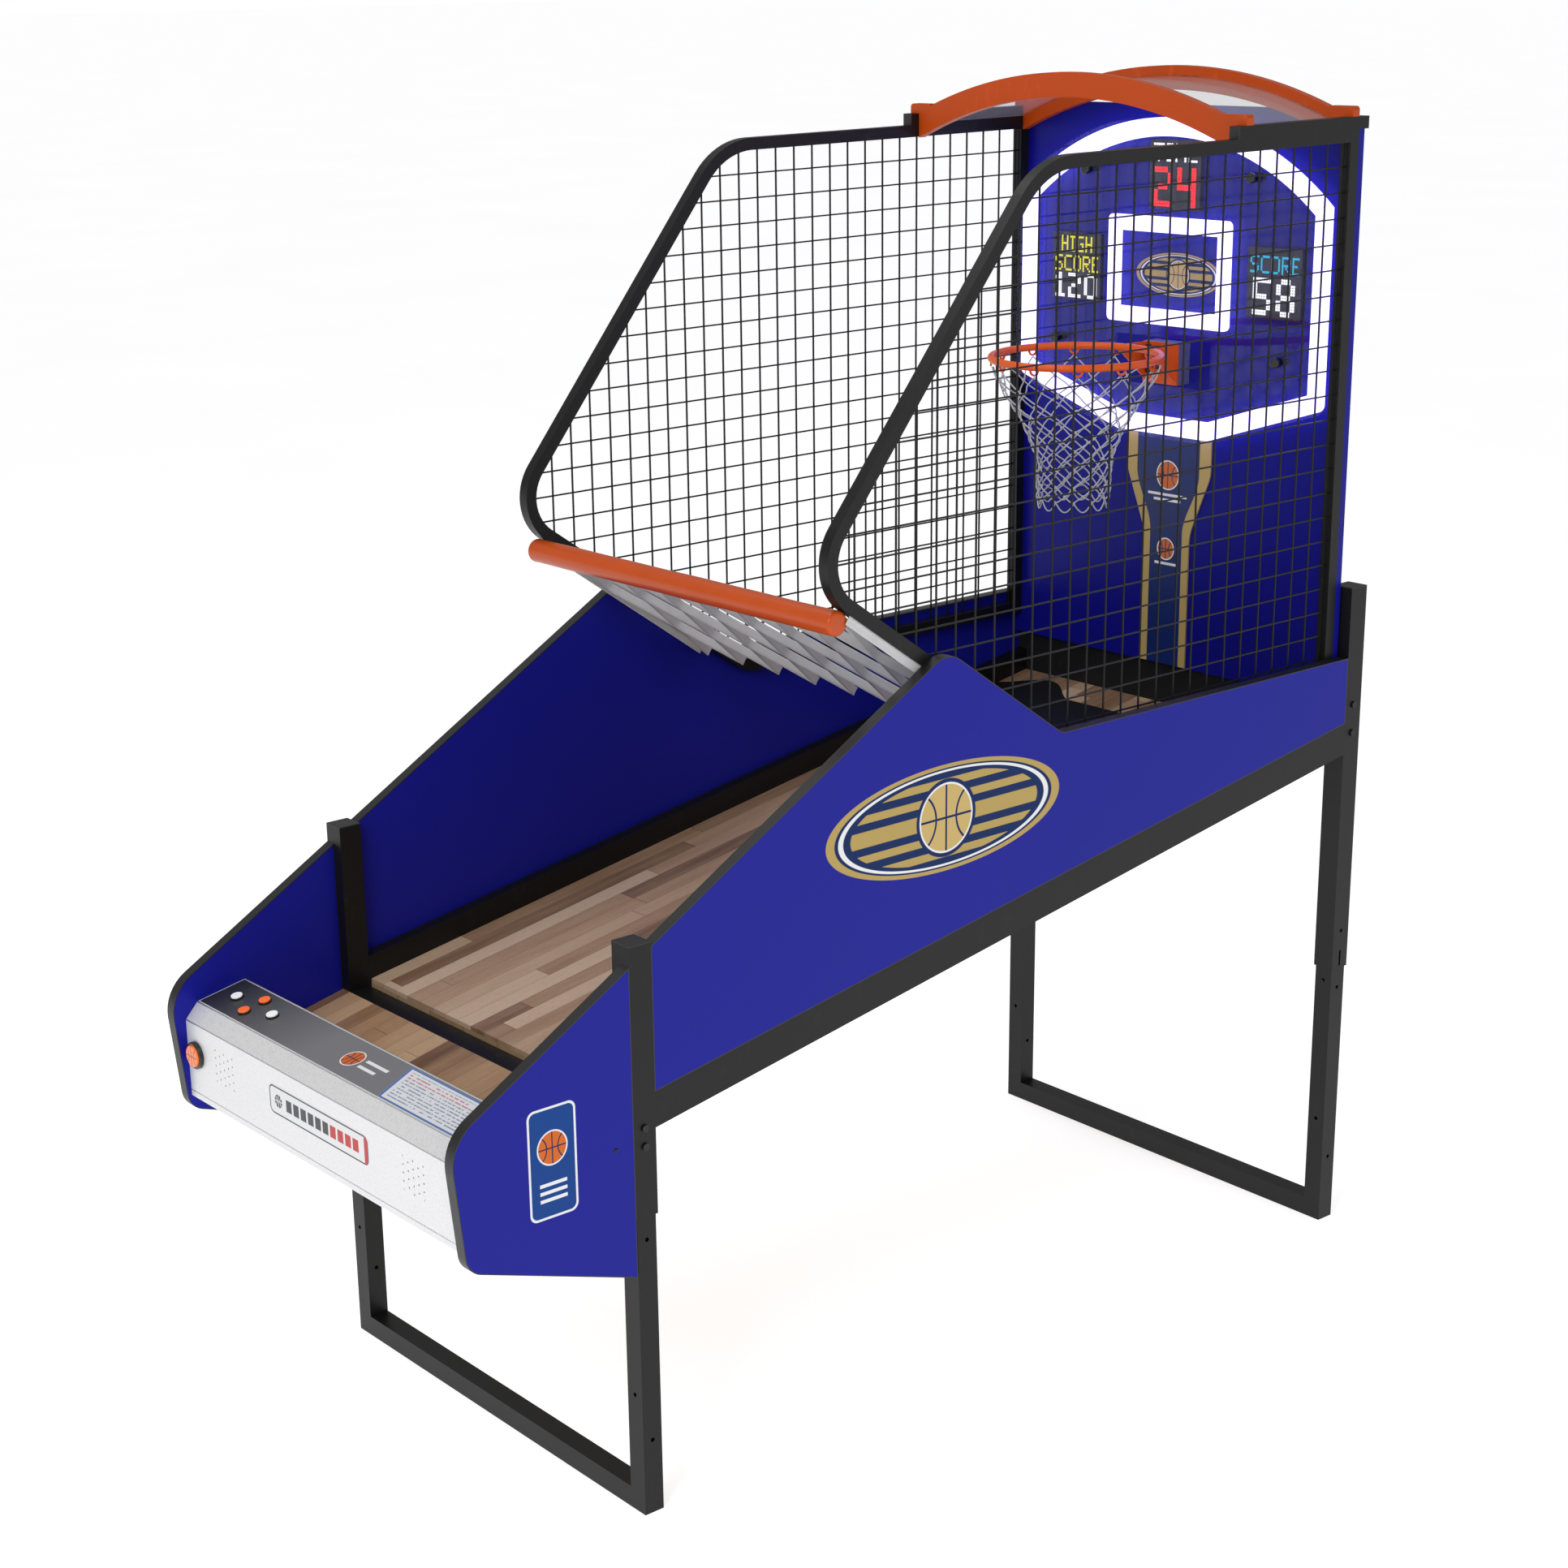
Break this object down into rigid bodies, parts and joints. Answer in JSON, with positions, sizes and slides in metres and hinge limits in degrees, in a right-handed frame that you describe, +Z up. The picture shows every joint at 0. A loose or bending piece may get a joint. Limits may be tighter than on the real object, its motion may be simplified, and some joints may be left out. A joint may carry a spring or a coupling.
{
  "type": "basketball hoop machine",
  "caption": "Free-standing arcade basketball machine: sloping ball-return ramp, push-button console, mesh cage, and a lit backboard with hoop and net.",
  "frame": {"origin": "centre of the underside of the front floor bar, on the floor", "axes": "+X to the player's right, +Y from the player towards the backboard, +Z up"},
  "size_m": [1.03, 2.4394, 2.5889],
  "materials": {
    "frame_steel": "black powder coat, satin",
    "cap_plastic": "moulded black plastic",
    "side_laminate": "royal blue laminate, satin",
    "court_wood": "lacquered court planks",
    "plain_wood": "bare timber",
    "console_metal": "silver-grey speckled paint",
    "console_overlay": "printed film, black fading to grey",
    "zinc_steel": "zinc plated",
    "button_black": "moulded gloss plastic",
    "button_orange": "translucent orange plastic",
    "button_white": "translucent white plastic",
    "circuit_board": "solder mask",
    "mesh_wire": "black coated wire",
    "arch_orange": "orange powder coat",
    "clear_sheet": "clear polished sheet",
    "pillar_print": "printed navy with gold borders",
    "light_strip": "diffuser over lamps, lit white",
    "display_face": "smoked display face with lit digits",
    "standoff_metal": "satin",
    "hoop_orange": "orange powder coat",
    "net_cord": "knotted cord",
    "pad_orange": "vinyl-covered foam"
  },
  "bodies": {
    "frame": {"front_post_left": "frame_steel", "front_post_right": "frame_steel", "rear_post_left": "frame_steel", "rear_post_right": "frame_steel", "side_rail_left": "frame_steel", "side_rail_right": "frame_steel", "front_cross_bar": "frame_steel", "rear_cross_bar": "frame_steel", "rear_skirt": "frame_steel", "cage_frame_left": "frame_steel", "cage_frame_right": "frame_steel", "roof_rails": "frame_steel", "deflector_tube": "frame_steel", "tube_caps": "cap_plastic", "edge_trims": "cap_plastic", "ball_sensor": "cap_plastic", "side_panel_left": "side_laminate", "side_panel_right": "side_laminate", "front_fin_left": "side_laminate", "front_fin_right": "side_laminate", "back_panel": "side_laminate", "ramp_deck": "court_wood", "tray_floor": "court_wood", "deck_slats": "plain_wood", "console_housing": "console_metal", "console_overlay": "console_overlay", "corner_brackets": "zinc_steel", "leg_lock_bolts": "zinc_steel", "cage_bolts": "zinc_steel", "hoop_bolts": "zinc_steel", "power_supply": "zinc_steel", "button_bodies": "button_black", "speakers": "button_black", "backboard_standoffs": "button_black", "control_board": "circuit_board", "cage_mesh_left": "mesh_wire", "cage_mesh_right": "mesh_wire", "front_arch": "arch_orange", "rear_arch": "arch_orange", "roof_sheet": "clear_sheet", "backboard": "clear_sheet", "pillar_board": "pillar_print", "border_light": "light_strip", "target_light": "light_strip", "high_score_display": "display_face", "time_display": "display_face", "score_display": "display_face", "hoop_mount": "standoff_metal", "hoop_rim": "hoop_orange", "hoop_bracket": "hoop_orange", "hoop_net": "net_cord", "deflector_net": "net_cord", "deflector_pad": "pad_orange"},
    "front_legs": {"front_leg_frame": "frame_steel"},
    "rear_legs": {"rear_leg_frame": "frame_steel"},
    "start_button": {"start_button": "button_orange"},
    "menu_button_player_back": {"menu_button_player_back": "button_white"},
    "menu_button_game_back": {"menu_button_game_back": "button_orange"},
    "menu_button_player_front": {"menu_button_player_front": "button_orange"},
    "menu_button_game_front": {"menu_button_game_front": "button_white"}
  },
  "joints": [
    {"name": "front_leg_slide", "type": "slide", "parent": "frame", "child": "front_legs", "axis": [0, 0, -1], "range_m": [0, 0.15]},
    {"name": "rear_leg_slide", "type": "slide", "parent": "frame", "child": "rear_legs", "axis": [0, 0, -1], "range_m": [0, 0.15]},
    {"name": "start_button_push", "type": "slide", "parent": "frame", "child": "start_button", "axis": [0, 1, 0], "range_m": [0, 0.004], "stiffness_N_per_m": 400},
    {"name": "menu_button_player_back_push", "type": "slide", "parent": "frame", "child": "menu_button_player_back", "axis": [0, 0.184, -0.9829], "range_m": [0, 0.003], "stiffness_N_per_m": 250},
    {"name": "menu_button_game_back_push", "type": "slide", "parent": "frame", "child": "menu_button_game_back", "axis": [0, 0.184, -0.9829], "range_m": [0, 0.003], "stiffness_N_per_m": 250},
    {"name": "menu_button_player_front_push", "type": "slide", "parent": "frame", "child": "menu_button_player_front", "axis": [0, 0.184, -0.9829], "range_m": [0, 0.003], "stiffness_N_per_m": 250},
    {"name": "menu_button_game_front_push", "type": "slide", "parent": "frame", "child": "menu_button_game_front", "axis": [0, 0.184, -0.9829], "range_m": [0, 0.003], "stiffness_N_per_m": 250}
  ]
}
